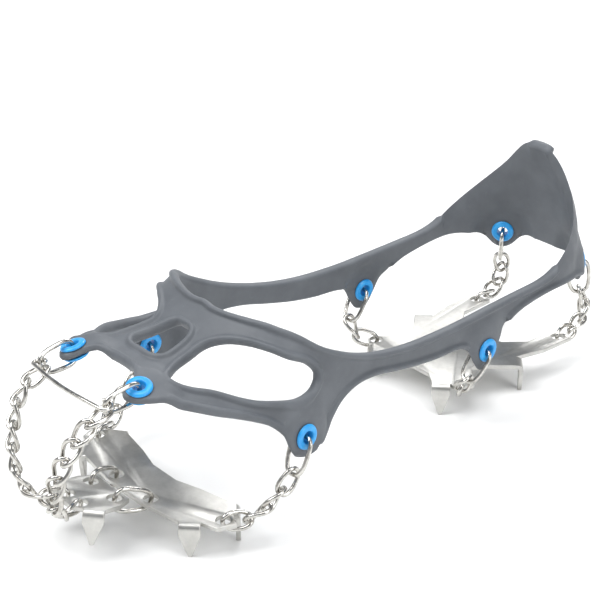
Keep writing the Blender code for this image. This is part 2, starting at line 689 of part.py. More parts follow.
def build():
    """Make every piece in its place."""
    elastomer = material("elastomer", (0.155, 0.165, 0.18), 0.55)
    blue = material("blue_moulding", (0.02, 0.30, 0.72), 0.35)
    polished = material("polished_steel", (0.62, 0.61, 0.60), 0.16, 1.0)
    sheet = material("sheet_steel", (0.55, 0.55, 0.54), 0.32, 1.0)
    make_harness(elastomer)

    eyelet = eyelet_mesh()
    connector = connector_mesh()

    plates = {
        "front": (FRONT_HALF, (1, 7), FRONT_HOLES, FRONT_LEVEL, FRONT_TILT, FRONT_ROCK),
        "forefoot": (FOREFOOT_HALF, (1, 5, 11, 15), FOREFOOT_HOLES, SOLE_LEVEL, 0.0, FOREFOOT_ROCK),
        "heel": (HEEL_HALF, (1, 8, 20, 27), HEEL_HOLES, SOLE_LEVEL, 0.0, HEEL_ROCK),
    }
    laid = {}
    for name, (half, folds, holes, level, tilt, rock) in plates.items():
        both = [(side * x, y) for x, y in holes.values() for side in (1, -1)]
        laid[name] = add_plate(f"{name}_plate", half + mirrored(half), folds, both, level, tilt, rock, sheet)

    def hole(plate, which, side):
        """The middle of one of a plate's chain holes."""
        x, y = plates[plate][2][which]
        return (laid[plate] @ (Vector((side * x, y, 0)) * MM)) / MM

    bar_ends = []
    for side, word in ((1, "left"), (-1, "right")):
        runs = {
            "toe": ((0.0, -1.0, -0.08), hole("front", "chain", side),
                    [(21.5, -139, 52), (18, -146.2, 40), (14.5, -149.4, 27), (11, -148.2, 16),
                     (7.5, -142.3, 9.3)],
                    8),
            "side": ((0.1, -0.42, -0.9), hole("forefoot", "chain", side),
                     [(53.4, -71, 8), (49.8, -80, 1.5)], 4),
            "arch": ((-0.14, -0.55, -0.85), hole("heel", "arch", side),
                     [(34.0, 55.8, 3.4)], 2),
            "heel": ((0.15, 0.15, -1.0), hole("heel", "heel", side),
                     [(27, 149.3, 12.0), (27.2, 143.6, 3.6)], 4),
        }
        for which, (way, anchor, between, count) in runs.items():
            centre, normal = eyelet_frame(which, side)
            matrix = frame_matrix(centre, normal.orthogonal(), normal)
            ring = add_object(f"{which}_eyelet_{word}", eyelet, blue)
            ring.matrix_world = matrix
            way = Vector((way[0] * side, way[1], way[2])).normalized()
            lean = max(-CONNECTOR_LEAN, min(CONNECTOR_LEAN, way.dot(normal)))
            way = (way - normal * way.dot(normal)).normalized() + normal * lean
            way.normalize()
            end = centre + way * CONNECTOR_LENGTH
            wire = add_object(f"{which}_connector_{word}", connector, polished)
            wire.matrix_world = frame_matrix((centre + end) / 2, way, normal)
            pivot = add_pivot(f"{which}_connector_{word}_swing", centre)
            place_under(wire, pivot)
            hook = end
            if which == "toe":
                hook = end - normal * HOOK_OFFSET
                bar_ends.append(toe_bar_half(end, way, normal))
                bar_eye = end + normal * BAR_OFFSET
            route = [hook] + [Vector((x * side, y, z)) for x, y, z in between] + [anchor]
            plate = {"toe": "front", "side": "forefoot"}.get(which, "heel")
            hang_chain(f"{which}_chain_{word}", route, normal, laid[plate].to_3x3() @ Vector((0, 0, 1)),
                       count, side, polished)

        front_hole, rear_hole = hole("front", "link", side), hole("forefoot", "link", side)
        wire = add_object(f"plate_link_{word}", connector, polished)
        wire.matrix_world = frame_matrix((front_hole + rear_hole) / 2, rear_hole - front_hole, (0, 0, 1))

    left = bar_ends[0]
    middle = Vector((0, left[-1].y - 0.2, left[-1].z))
    path = left + [middle] + [Vector((-p.x, p.y, p.z)) for p in reversed(left)]
    bar = add_object("toe_bar", open_wire("toe_bar", path, BAR_WIRE), polished)
    place_under(bar, add_pivot("toe_bar_swing", (0, bar_eye.y, bar_eye.z)))


for old in list(bpy.data.objects):
    bpy.data.objects.remove(old)
build()
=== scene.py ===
"""Chain ice cleat for one boot, shown on its own in the shape it has when it is worn.

The toe points to -Y, up is +Z, and the wearer's left is +X. Sizes are written in millimetres.
"""
import math

import bmesh
import bpy
import numpy as np
from mathutils import Matrix, Vector
from mathutils.geometry import delaunay_2d_cdt


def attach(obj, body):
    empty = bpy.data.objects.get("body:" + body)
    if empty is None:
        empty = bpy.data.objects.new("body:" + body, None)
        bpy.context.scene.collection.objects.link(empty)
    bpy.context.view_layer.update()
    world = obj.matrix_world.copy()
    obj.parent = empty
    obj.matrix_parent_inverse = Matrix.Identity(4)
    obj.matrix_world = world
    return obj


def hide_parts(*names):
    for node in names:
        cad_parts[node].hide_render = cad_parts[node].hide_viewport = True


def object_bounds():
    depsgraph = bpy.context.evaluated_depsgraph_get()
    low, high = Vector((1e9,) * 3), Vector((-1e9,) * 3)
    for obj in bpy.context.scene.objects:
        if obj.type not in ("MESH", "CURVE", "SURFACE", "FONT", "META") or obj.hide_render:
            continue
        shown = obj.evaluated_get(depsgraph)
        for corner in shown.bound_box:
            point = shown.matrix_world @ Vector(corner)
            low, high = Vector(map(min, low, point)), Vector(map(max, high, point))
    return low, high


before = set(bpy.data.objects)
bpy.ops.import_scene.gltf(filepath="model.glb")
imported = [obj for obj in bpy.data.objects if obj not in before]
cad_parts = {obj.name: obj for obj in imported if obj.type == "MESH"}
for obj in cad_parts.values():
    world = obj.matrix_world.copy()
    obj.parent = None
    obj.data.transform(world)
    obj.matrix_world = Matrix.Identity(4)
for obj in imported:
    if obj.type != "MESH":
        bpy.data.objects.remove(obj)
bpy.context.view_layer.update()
mm = 0.001


# ---------------------------------------------------------------- floor, light and camera
# A pale matt sweep that the spikes stand on, and softboxes around it. The room is pale near the
# floor and dark above, so that the polished wire has something to mirror between the softboxes.

def linear(code):
    """A hex sRGB colour as linear red, green and blue."""
    shares = [int(code[i:i + 2], 16) / 255 for i in (1, 3, 5)]
    return tuple(s / 12.92 if s <= 0.04045 else ((s + 0.055) / 1.055) ** 2.4 for s in shares)


def new_material(name, colour, roughness, metallic=0.0):
    """A material with its shader set to the values it is the same all over."""
    made = bpy.data.materials.new(name)
    made.use_nodes = True
    shader = made.node_tree.nodes["Principled BSDF"]
    shader.inputs["Base Color"].default_value = (*linear(colour), 1.0)
    shader.inputs["Roughness"].default_value = roughness
    shader.inputs["Metallic"].default_value = metallic
    return made, shader


def add_node(made, kind, links=(), **settings):
    """Add a node; settings go to its sockets by name, and to the node itself where it has no such socket."""
    node = made.node_tree.nodes.new(kind)
    for name, value in settings.items():
        socket = name.replace("_", " ").title()
        if hasattr(node, name):
            setattr(node, name, value)
        elif socket in node.inputs:
            node.inputs[socket].default_value = value
    for source, target in links:
        made.node_tree.links.new(source, node.inputs[target])
    return node


floor_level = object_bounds()[0].z
bpy.ops.mesh.primitive_plane_add(size=9.0, location=(0, 0, floor_level - 0.1 * mm))
sweep = bpy.context.object
sweep.name = "pale_floor"
sweep_paint = new_material("pale_floor_paint", "#f7f7f6", 0.9)[0]
sweep.data.materials.append(sweep_paint)

room = bpy.data.worlds.new("grey_room")
room.use_nodes = True
direction = add_node(room, "ShaderNodeTexCoord").outputs["Generated"]
climb = add_node(room, "ShaderNodeSeparateXYZ", [(direction, "Vector")]).outputs["Z"]
walls = add_node(room, "ShaderNodeValToRGB", [(climb, "Fac")])
walls.color_ramp.elements[0].position, walls.color_ramp.elements[1].position = 0.1, 0.42
walls.color_ramp.elements[0].color = (*linear("#eeeff0"), 1.0)
walls.color_ramp.elements[1].color = (*linear("#92959a"), 1.0)
room.node_tree.links.new(walls.outputs["Color"], room.node_tree.nodes["Background"].inputs["Color"])
room.node_tree.nodes["Background"].inputs["Strength"].default_value = 0.85
bpy.context.scene.world = room
bpy.context.scene.view_settings.view_transform = "Standard"


def softbox(name, place, aim, width, height, watts):
    """A rectangular soft light turned towards a point."""
    data = bpy.data.lights.new(name, "AREA")
    data.shape = "RECTANGLE"
    data.size, data.size_y, data.energy = width, height, watts
    lamp = bpy.data.objects.new(name, data)
    lamp.location = place
    lamp.rotation_euler = (Vector(aim) - Vector(place)).to_track_quat("-Z", "Y").to_euler()
    bpy.context.collection.objects.link(lamp)


softbox("key_softbox", (-0.35, -0.75, 1.05), (0, -0.02, 0.02), 0.7, 0.7, 11.0)
softbox("side_softbox", (1.1, 0.15, 0.75), (0, 0, 0.02), 0.5, 0.9, 6.0)
softbox("back_softbox", (-0.55, 0.95, 0.9), (0, 0, 0.03), 0.9, 0.4, 7.0)
softbox("top_softbox", (0.05, 0.0, 1.3), (0, 0, 0), 0.9, 0.9, 9.0)

lens = bpy.data.cameras.new("studio_camera")
lens.lens, lens.sensor_width = 99.6, 36.0
camera = bpy.data.objects.new("studio_camera", lens)
camera.location = Vector((483.7, -431.4, 378.5)) * mm
aimed_at = Vector((-63.31, 43.59, 16.19)) * mm
camera.rotation_euler = (aimed_at - camera.location).to_track_quat("-Z", "Y").to_euler()
bpy.context.collection.objects.link(camera)
bpy.context.scene.camera = camera


# ---------------------------------------------------------------- elastomer harness
# One thermoplastic-rubber moulding that is stretched over toe, instep and heel. It has a raised
# round rim along every edge with a shallow channel between, and a thinner flat lug at each eyelet.

# The worn boot's surface, as sections along its length
heel_centre = 113.0
heel_radius = 36.0
harness_end = heel_centre + heel_radius * math.pi / 2
boot_place = (-150, -145, -138, -130, -120, -110, -94, -74, -62, -50, -40, -20, 0, 20, 45, 70, 90, 113, 170)
boot_half_width = (0, 22, 32, 39, 44.5, 47.5, 49.5, 49.5, 49, 48, 46.5, 43.5, 41, 39, 37.5, 36.5, 36, 36, 36)
boot_height = (8, 20, 26, 30, 33, 35, 36.5, 40, 47, 56, 62, 72, 80, 85, 88, 88, 88, 88, 88)
boot_level = (24, 24, 24, 24, 24, 24, 24, 24, 24, 24, 23, 21, 18, 15, 13, 13, 13, 13, 13)
boot_square = (2.5, 2.5, 2.5, 2.5, 2.5, 2.5, 2.5, 2.5, 2.5, 2.5, 2.5, 2.5, 2.6, 2.7, 2.8, 2.9, 3, 3, 3)
lateral_scale = 0.75      # millimetres on the boot for one degree around it, roughly

# The left half's outlines: place along the boot, and degrees down from its top
ankle_edge = ((-60, 0), (-60.5, 8), (-59.5, 16), (-57, 25), (-53.5, 33.5), (-49, 42), (-39, 54),
              (-27, 62), (-14, 67), (2, 70), (20, 71), (40, 71), (64, 70.5), (84, 70), (100, 69.5),
              (110, 68), (118, 65), (126, 61.5), (133, 58), (140, 54), (146.5, 49.5), (152, 44.5),
              (157, 40.5), (163, 38.2), (harness_end, 37.8))
lower_edge = ((harness_end, 75), (161, 75), (155, 76.5), (150.5, 79.3), (146, 80.3), (141.5, 79.5),
              (137, 77), (130, 75), (120, 74), (108, 74), (94, 75), (84, 76.5), (76, 79.5), (71, 84.5),
              (66.5, 88.5), (60, 88.7), (55.5, 85), (51.5, 80.5), (44, 79), (32, 79), (18, 78.5), (4, 77.5),
              (-10, 76), (-22, 76), (-31, 78), (-37, 82), (-42.5, 88), (-47.5, 93.5), (-53.5, 95.5),
              (-59.5, 92), (-63, 85), (-65.5, 77), (-70, 69), (-77, 62), (-84, 56.5), (-91, 51.5),
              (-98, 45.5), (-105, 39.5), (-111.5, 35.5), (-117, 31), (-119, 25.5), (-116, 20.5),
              (-110, 17.5), (-107, 12), (-106, 6), (-105.8, 0))
centre_window = ((-94, 0), (-94, 6.5), (-91.5, 10.5), (-85, 9.5), (-77, 7.5), (-73.2, 4.5), (-73, 0))
side_window = ((-98.5, 27), (-94, 34), (-87, 40), (-78.5, 48.5), (-68, 57.5), (-57.5, 64.5),
               (-48.5, 67), (-43.5, 63.5), (-46.5, 58), (-53.5, 51), (-59, 42), (-64, 33),
               (-69.5, 24), (-75.5, 19), (-83, 19.5), (-93, 22))
eyelet_spots = {"toe": (-112.0, 25.5), "side": (-55.5, 82.0), "arch": (63.0, 82.5), "heel": (146.0, 74.5)}

edge_height = 2.2         # where the rounded edge's two faces meet, above the boot
rim_height = 4.9          # crown of the raised round rim
rim_reach = 1.7           # from an edge to the rim's crown
rim_blend = 0.25          # small fillet where the rim meets the channel
web_height = 3.4          # floor of the channel between the rims
lug_lift = 2.4            # how far a lug stands off the boot
lug_height = 3.2          # thickness of a lug
lug_flat_radius = 10.0
lug_blend_radius = 17.0
eyelet_barrel = 3.8       # the hole in the lug
edge_step = 1.35          # spacing of the mesh along the edges
face_step = 2.6           # spacing of the mesh on the open faces
edge_rows = (0.35, 0.8, 1.3, 1.8, 2.3, 2.75, 3.15, 3.6, 4.4)
crossing_share = 0.85     # of a row's distance, where a rim meets the centre line on sloping ground


def section(values, place):
    """Smooth curve through a row of section values."""
    knots, values = np.array(boot_place, float), np.array(values, float)
    slope = np.gradient(values, knots)
    cell = np.clip(np.searchsorted(knots, place) - 1, 0, len(knots) - 2)
    width = knots[cell + 1] - knots[cell]
    t = (place - knots[cell]) / width
    start = (1 + 2 * t) * (1 - t) ** 2 * values[cell] + t * (1 - t) ** 2 * width * slope[cell]
    end = t * t * (3 - 2 * t) * values[cell + 1] + t * t * (t - 1) * width * slope[cell + 1]
    return start + end


def boot_point(place, angle):
    """Points on the boot: distance along it, and degrees down from the top."""
    turn = np.radians(angle)
    side, up = np.sin(turn), np.cos(turn)
    square = section(boot_square, place)
    radius = (np.abs(side) ** square + np.abs(up) ** square) ** (-1 / square)
    out = section(boot_half_width, place) * radius * side
    height = np.where(up > 0, section(boot_height, place), 30.0)
    around = np.maximum(place - heel_centre, 0) / heel_radius
    x = out * np.cos(around)
    y = np.minimum(place, heel_centre) + out * np.sin(around)
    return np.stack([x, y, section(boot_level, place) + height * radius * up], -1)


def boot_normal(place, angle):
    """Outward unit normals of the boot's surface."""
    along = boot_point(place + 0.05, angle) - boot_point(place - 0.05, angle)
    down = boot_point(place, angle + 0.05) - boot_point(place, angle - 0.05)
    normal = np.cross(down, along)
    return normal / np.linalg.norm(normal, axis=-1, keepdims=True)


def eyelet_frame(which, side):
    """Centre of an eyelet in its lug, and its outward axis."""
    place, angle = eyelet_spots[which]
    spot = np.array([place]), np.array([angle])
    normal = Vector(boot_normal(*spot)[0])
    centre = Vector(boot_point(*spot)[0]) + normal * (lug_lift + lug_height / 2)
    centre.x *= side
    normal.x *= side
    return centre, normal


def between(before, a, b, after, t):
    """A point on the Catmull-Rom curve from a to b."""
    return 0.5 * ((2 * a) + (b - before) * t + (2 * before - 5 * a + 4 * b - after) * t * t
                  + (3 * a - before - 3 * b + after) * t ** 3)


def outline(points, closed=False):
    """A smooth flat outline with evenly spaced points."""
    knots = [Vector((place, angle * lateral_scale)) for place, angle in points]
    count = len(knots)
    dense = []
    for i in range(count if closed else count - 1):
        a, b = knots[i], knots[(i + 1) % count]
        before = knots[i - 1] if closed or i > 0 else a * 2 - b
        after = knots[(i + 2) % count] if closed or i + 2 < count else b * 2 - a
        dense += [between(before, a, b, after, k / 12) for k in range(12)]
    dense.append(knots[0] if closed else knots[-1])
    travelled = np.concatenate([[0], np.cumsum([(b - a).length for a, b in zip(dense, dense[1:])])])
    wanted = np.linspace(0, travelled[-1], max(3, round(travelled[-1] / edge_step)) + 1)
    line = np.stack([np.interp(wanted, travelled, [p[axis] for p in dense]) for axis in (0, 1)], 1)
    return line[:-1] if closed else line


def straight(start, end):
    """Points between two outline ends, closer together near the ends, where a rim crosses."""
    start, end = np.array(start), np.array(end)
    length = np.linalg.norm(end - start)
    near = [row * crossing_share for row in edge_rows if row * crossing_share < length / 2]
    count = max(1, round((length - 2 * near[-1]) / edge_step))
    even = np.linspace(near[-1], length - near[-1], count + 1)[1:-1]
    along = near + list(even) + [length - n for n in near[::-1]]
    return start + (end - start) * np.array(along)[:, None] / length


def edge_distance(points, edges):
    """Distance on the boot from each point to the nearest free edge."""
    best = np.full(len(points), 1e9)
    for line in edges:
        a, b = line[:-1], line[1:]
        span = b - a
        t = ((points[:, None] - a) * span).sum(-1) / (span * span).sum(-1)
        near = a + np.clip(t, 0, 1)[..., None] * span
        best = np.minimum(best, np.linalg.norm(points[:, None] - near, axis=-1).min(1))
    return best


def inside(points, loops):
    """Even-odd test of flat points against closed loops."""
    hit = np.zeros(len(points), bool)
    for loop in loops:
        a, b = loop, np.roll(loop, -1, axis=0)
        crosses = (a[:, 1] > points[:, None, 1]) != (b[:, 1] > points[:, None, 1])
        with np.errstate(divide="ignore", invalid="ignore"):
            at = a[:, 0] + (points[:, None, 1] - a[:, 1]) * (b[:, 0] - a[:, 0]) / (b[:, 1] - a[:, 1])
        hit ^= (np.sum(crosses & (points[:, None, 0] < at), axis=1) % 2).astype(bool)
    return hit


def on_boot(flat):
    """Flat pattern points laid on the boot."""
    return boot_point(flat[:, 0], flat[:, 1] / lateral_scale)


def eyelet_loop(place, angle):
    """The flat outline of one eyelet's hole, round once it is laid on the boot."""
    turns = np.arange(36) * math.tau / 36
    place_row, angle_row = np.array([place]), np.array([angle])
    across = np.linalg.norm(boot_point(place_row, angle_row + 0.5) - boot_point(place_row, angle_row - 0.5))
    along = np.linalg.norm(boot_point(place_row + 0.5, angle_row) - boot_point(place_row - 0.5, angle_row))
    return np.stack([place + np.cos(turns) * eyelet_barrel / along,
                     (angle + np.sin(turns) * eyelet_barrel / across) * lateral_scale], 1)


def pattern_points(free_lines, loops, free):
    """Flat points for the harness: rows that follow the edges, rings round the holes, and a grid."""
    rows = [np.vstack(loops)]
    for line in free_lines:
        step = np.gradient(line, axis=0)
        for row in edge_rows:
            for way in (1, -1):
                normal = np.stack([-step[:, 1], step[:, 0]], 1) * way
                normal /= np.linalg.norm(normal, axis=1, keepdims=True)
                moved = np.linalg.norm(on_boot(line + normal) - on_boot(line), axis=1)
                flat = line + normal * (row / moved)[:, None]
                keep = inside(flat, loops) & (edge_distance(on_boot(flat), free) > row * 0.93)
                rows.append(flat[keep])
    for loop in loops[2:]:
        middle = loop.mean(0)
        for grow in (1.35, 1.75):
            ring = middle + (loop - middle) * grow
            rows.append(ring[inside(ring, loops) & (edge_distance(on_boot(ring), free) > 0.6)])
    grid_x = np.arange(-120, harness_end - 1, face_step)
    grid_y = np.arange(2.2, 96 * lateral_scale, face_step * 0.87)
    grid = np.array([(x + (j % 2) * face_step / 2, y) for j, y in enumerate(grid_y) for x in grid_x])
    grid = grid[(grid[:, 0] < harness_end - 1) & inside(grid, loops)]
    rows.append(grid[edge_distance(on_boot(grid), free) > edge_rows[-1] + face_step * 0.4])
    flat = np.vstack(rows)

    laid = on_boot(flat)
    kept = np.zeros(len(flat), bool)
    kept[:len(rows[0])] = True
    hole_edges = [on_boot(np.vstack([loop, loop[:1]])) for loop in loops[2:]]
    near_hole = edge_distance(laid, hole_edges) < 0.7
    for i in range(len(rows[0]), len(flat)):
        if not near_hole[i]:
            kept[i] = np.min(np.linalg.norm(laid[kept] - laid[i], axis=1)) > edge_step * 0.2
    return flat[kept]


def round_edge(distance, reach):
    """0 at an edge, 1 from reach inwards, along a quarter circle."""
    t = np.clip(1 - distance / reach, 0, 1)
    return np.sqrt(1 - t * t)


def harness_faces(flat, free):
    """Points of the harness's inner and outer face, and each point's distance from an edge."""
    points = on_boot(flat)
    normals = boot_normal(flat[:, 0], flat[:, 1] / lateral_scale)
    distance = edge_distance(points, free)
    inner = edge_height * (1 - round_edge(distance, 1.5))
    bead = np.sqrt(np.clip(1 - ((distance - rim_reach) / rim_reach) ** 2, 0, 1))
    bead = edge_height + (rim_height - edge_height) * bead
    joined = (bead + web_height + np.sqrt((bead - web_height) ** 2 + rim_blend ** 2)) / 2
    outer = np.where(distance < rim_reach, bead, joined)

    feet = [(np.array(centre - normal * (lug_lift + lug_height / 2)), np.array(normal))
            for centre, normal in (eyelet_frame(which, 1) for which in eyelet_spots)]
    reach = np.stack([np.linalg.norm(points - foot, axis=1) for foot, normal in feet])
    nearest = reach.argmin(0)
    t = np.clip((lug_blend_radius - reach.min(0)) / (lug_blend_radius - lug_flat_radius), 0, 1)
    lug = t * t * (3 - 2 * t)
    lug_round = round_edge(distance, 1.6)
    inner += (lug_lift + lug_height / 2 * (1 - lug_round) - inner) * lug
    outer += (lug_lift + lug_height / 2 * (1 + lug_round) - outer) * lug
    for k, (foot, normal) in enumerate(feet):
        pick = nearest == k
        drop = ((points[pick] - foot) @ normal) * lug[pick]
        points[pick] -= drop[:, None] * normal
        turned = normals[pick] + (normal - normals[pick]) * lug[pick][:, None]
        normals[pick] = turned / np.linalg.norm(turned, axis=1, keepdims=True)
    return points + normals * inner[:, None], points + normals * outer[:, None], distance


def harness_mesh():
    """The flat pattern meshed, laid on the boot, thickened, and mirrored."""
    ankle, lower, centre_hole = outline(ankle_edge), outline(lower_edge), outline(centre_window)
    side_hole = outline(side_window, closed=True)
    border = np.vstack([ankle, straight(ankle[-1], lower[0]), lower, straight(lower[-1], centre_hole[0]),
                        centre_hole, straight(centre_hole[-1], ankle[0])])
    loops = [border, side_hole] + [eyelet_loop(*spot) for spot in eyelet_spots.values()]
    free_lines = [ankle, lower, centre_hole, np.vstack([side_hole, side_hole[:1]])]
    free = [on_boot(line) for line in free_lines]
    flat = pattern_points(free_lines, loops, free)

    edges, start = [], 0
    for loop in loops:
        edges += [(start + i, start + (i + 1) % len(loop)) for i in range(len(loop))]
        start += len(loop)
    result = delaunay_2d_cdt([Vector(p) for p in flat.tolist()], edges, [], 0, 1e-6)
    flat = np.array([tuple(v) for v in result[0]])
    triangles = np.array(result[2])
    triangles = triangles[inside(flat[triangles].mean(1), loops)]
    *faces, distance = harness_faces(flat, free)
    free_rim = distance < 1e-3
    middle = (flat[:, 0] > harness_end - 0.01) | (flat[:, 1] < 0.01)
    triangles = triangles[~(free_rim[triangles].all(1) | middle[triangles].all(1))]

    shape = bmesh.new()
    verts = {}

    def vertex(i, layer, side):
        """A vertex of one face of the sheet; the edges and the centre line are shared."""
        key = (i, 1 if free_rim[i] else layer, 1 if middle[i] else side)
        if key not in verts:
            x, y, z = faces[key[1]][i] * mm
            verts[key] = shape.verts.new((0.0 if middle[i] else x * side, y, z))
        return verts[key]

    for side in (1, -1):
        for layer in (0, 1):
            for triangle in triangles.tolist():
                shape.faces.new([vertex(i, layer, side) for i in triangle])
    open_edges = [edge for edge in shape.edges if edge.is_boundary]
    for side in (1, -1):
        for which in eyelet_spots:
            centre = eyelet_frame(which, side)[0] * mm
            rim = [edge for edge in open_edges if (edge.verts[0].co - centre).length < 8 * mm]
            bmesh.ops.bridge_loops(shape, edges=rim)
    return shape


def add_piece(name, shape, finish, body, slot, *nodes, sharp=40):
    """Turn a bmesh into one shown piece that rides on a body and stands for CAD nodes."""
    bmesh.ops.recalc_face_normals(shape, faces=shape.faces)
    mesh = bpy.data.meshes.new(name)
    shape.to_mesh(mesh)
    shape.free()
    mesh.materials.append(finish)
    mesh.shade_smooth()
    mesh.set_sharp_from_angle(angle=math.radians(sharp))
    piece = bpy.data.objects.new(name, mesh)
    bpy.context.collection.objects.link(piece)
    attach(piece, body)
    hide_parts(*nodes)
    return piece


# Moulded thermoplastic rubber: a matt blue-grey skin. The mould's spark texture, about 0.5 mm,
# breaks up the highlight, and slow flow marks 10-20 mm long change its tone a little.
rubber, rubber_shader = new_material("moulded_blue_grey_rubber", "#61656b", 0.5)
rubber_shader.inputs["IOR"].default_value = 1.5
rubber_shader.inputs["Specular IOR Level"].default_value = 0.42
place = add_node(rubber, "ShaderNodeTexCoord").outputs["Object"]
flow = add_node(rubber, "ShaderNodeTexNoise", [(place, "Vector")], scale=70.0, detail=3.0, roughness=0.6)
dust = add_node(rubber, "ShaderNodeTexNoise", [(place, "Vector")], scale=420.0, detail=4.0, roughness=0.7)
tone = add_node(rubber, "ShaderNodeValToRGB", [(flow.outputs["Fac"], "Fac")])
tone.color_ramp.elements[0].position, tone.color_ramp.elements[1].position = 0.32, 0.7
tone.color_ramp.elements[0].color = (*linear("#5b5f64"), 1.0)
tone.color_ramp.elements[1].color = (*linear("#666a6f"), 1.0)
speck = add_node(rubber, "ShaderNodeValToRGB", [(dust.outputs["Fac"], "Fac")])
speck.color_ramp.elements[0].position, speck.color_ramp.elements[1].position = 0.58, 0.78
speck.color_ramp.elements[0].color = (0, 0, 0, 1)
speck.color_ramp.elements[1].color = (0.2, 0.2, 0.2, 1)
dusted = add_node(rubber, "ShaderNodeMix", data_type="RGBA")
rubber.node_tree.links.new(speck.outputs["Color"], dusted.inputs["Factor"])
rubber.node_tree.links.new(tone.outputs["Color"], dusted.inputs[6])
dusted.inputs[7].default_value = (*linear("#838688"), 1.0)
rubber.node_tree.links.new(dusted.outputs[2], rubber_shader.inputs["Base Color"])
matt = add_node(rubber, "ShaderNodeMapRange", [(dust.outputs["Fac"], "Value")], to_min=0.42, to_max=0.6)
rubber.node_tree.links.new(matt.outputs["Result"], rubber_shader.inputs["Roughness"])
spark = add_node(rubber, "ShaderNodeTexNoise", [(place, "Vector")], scale=1900.0, detail=2.0)
skin = add_node(rubber, "ShaderNodeBump", [(spark.outputs["Fac"], "Height")], strength=0.16, distance=0.0002)
rubber.node_tree.links.new(skin.outputs["Normal"], rubber_shader.inputs["Normal"])

add_piece("rubber_harness", harness_mesh(), rubber, "harness", "elastomer", "harness", sharp=75)


# ---------------------------------------------------------------- moulded eyelets
# Eight blue spools, moulded in the lugs: a barrel through the hole between two domed flanges,
# 11 mm across, with a round hole that a wire hook passes through.

eyelet_hole = 2.4          # at its waist
eyelet_flange = 5.5
eyelet_dome = 1.25
flange_lip = 0.15         # height of the flange's outer edge
flange_round = 1.4        # width of its rounding
waist_flat = 0.25         # half height of the straight part of the bore
fit_gap = 0.3

# Glossy moulded nylon: a clean bright blue with a clear highlight, and a trace of handling
# scratches, drawn about 1 mm long so that they show.
nylon, nylon_shader = new_material("moulded_blue_nylon", "#299fe8", 0.3)
nylon_shader.inputs["IOR"].default_value = 1.53
nylon_shader.inputs["Subsurface Weight"].default_value = 0.05
nylon_shader.inputs["Subsurface Radius"].default_value = (0.0008, 0.0012, 0.002)
place = add_node(nylon, "ShaderNodeTexCoord").outputs["Object"]
cloud = add_node(nylon, "ShaderNodeTexNoise", [(place, "Vector")], scale=260.0, detail=3.0)
tone = add_node(nylon, "ShaderNodeValToRGB", [(cloud.outputs["Fac"], "Fac")])
tone.color_ramp.elements[0].position, tone.color_ramp.elements[1].position = 0.3, 0.7
tone.color_ramp.elements[0].color = (*linear("#1e94e0"), 1.0)
tone.color_ramp.elements[1].color = (*linear("#38abee"), 1.0)
nylon.node_tree.links.new(tone.outputs["Color"], nylon_shader.inputs["Base Color"])
scuffs = add_node(nylon, "ShaderNodeTexNoise", [(place, "Vector")], scale=1100.0, detail=3.0)
worn = add_node(nylon, "ShaderNodeMapRange", [(scuffs.outputs["Fac"], "Value")], to_min=0.2, to_max=0.42)
nylon.node_tree.links.new(worn.outputs["Result"], nylon_shader.inputs["Roughness"])
skin = add_node(nylon, "ShaderNodeBump", [(scuffs.outputs["Fac"], "Height")], strength=0.08, distance=0.0001)
nylon.node_tree.links.new(skin.outputs["Normal"], nylon_shader.inputs["Normal"])


def eyelet_shape(matrix):
    """The spool turned around its own axis."""
    face = lug_height / 2 + fit_gap
    mouth = eyelet_flange - 2.4
    top = []
    for k in range(8):
        turn = math.radians(90 * k / 7)
        rise = waist_flat + (face + eyelet_dome - waist_flat) * math.sin(turn)
        top.append((mouth - (mouth - eyelet_hole) * math.cos(turn), rise))
    for k in range(1, 8):
        turn = math.radians(90 * k / 7)
        rise = face + flange_lip + (eyelet_dome - flange_lip) * math.cos(turn)
        top.append((eyelet_flange - flange_round * (1 - math.sin(turn)), rise))
    top += [(eyelet_flange - 0.05, face), (eyelet_flange - 0.5, face - 0.02), (3.25, face)]
    profile = top + [(r, -h) for r, h in reversed(top)]
    shape = bmesh.new()
    rings = []
    for k in range(48):
        angle = math.tau * k / 48
        rings.append([shape.verts.new(matrix @ (Vector((r * math.cos(angle), r * math.sin(angle), h)) * mm))
                      for r, h in profile])
    for a, b in zip(rings, rings[1:] + rings[:1]):
        for i in range(len(profile)):
            j = (i + 1) % len(profile)
            shape.faces.new((a[i], b[i], b[j], a[j]))
    return shape


for side, word in ((1, "left"), (-1, "right")):
    for which in eyelet_spots:
        centre, normal = eyelet_frame(which, side)
        seat = normal.to_track_quat("Z", "Y").to_matrix().to_4x4()
        seat.translation = centre * mm
        add_piece(f"nylon_eyelet_{which}_{word}", eyelet_shape(seat), nylon, "harness", "blue_moulding",
                  f"{which}_eyelet_{word}")


# ---------------------------------------------------------------- spike plates
# Three 2 mm stainless sheets, laser cut, with each spike bent straight down. They carry a round
# hole for every chain and hook. The edges are tumbled smooth and the tips are cut off blunt.

sheet_thickness = 2.0
bend_radius = 2.0
spike_drop = 14.0
spike_tip = 1.7
chain_hole = 3.2
front_outline = [(5.0, -136.8), (9.0, -133.6), (14.9, -127), (14.9, -120), (12, -113.2)]
front_holes = {"chain": (4.6, -132.0), "link": (8.3, -118.0)}
forefoot_outline = [(12, -107.6), (33, -104.4), (39.4, -98), (47, -96), (50, -88), (43.4, -84.8),
                    (37, -79.6), (20, -83), (8, -86.5)]
forefoot_holes = {"link": (12.1, -102.8), "chain": (43.9, -90.3)}
heel_outline = [(12, 57.5), (19.5, 52.2), (25.9, 57.9), (28.6, 57.5), (33.0, 60.9), (33.4, 66), (21, 77),
                (27, 86), (34.4, 94), (28, 100.4), (31.5, 116), (32, 135.5), (22, 135.5), (21, 116),
                (13, 106)]
heel_holes = {"arch": (28.7, 62.3), "heel": (27.0, 130.8)}

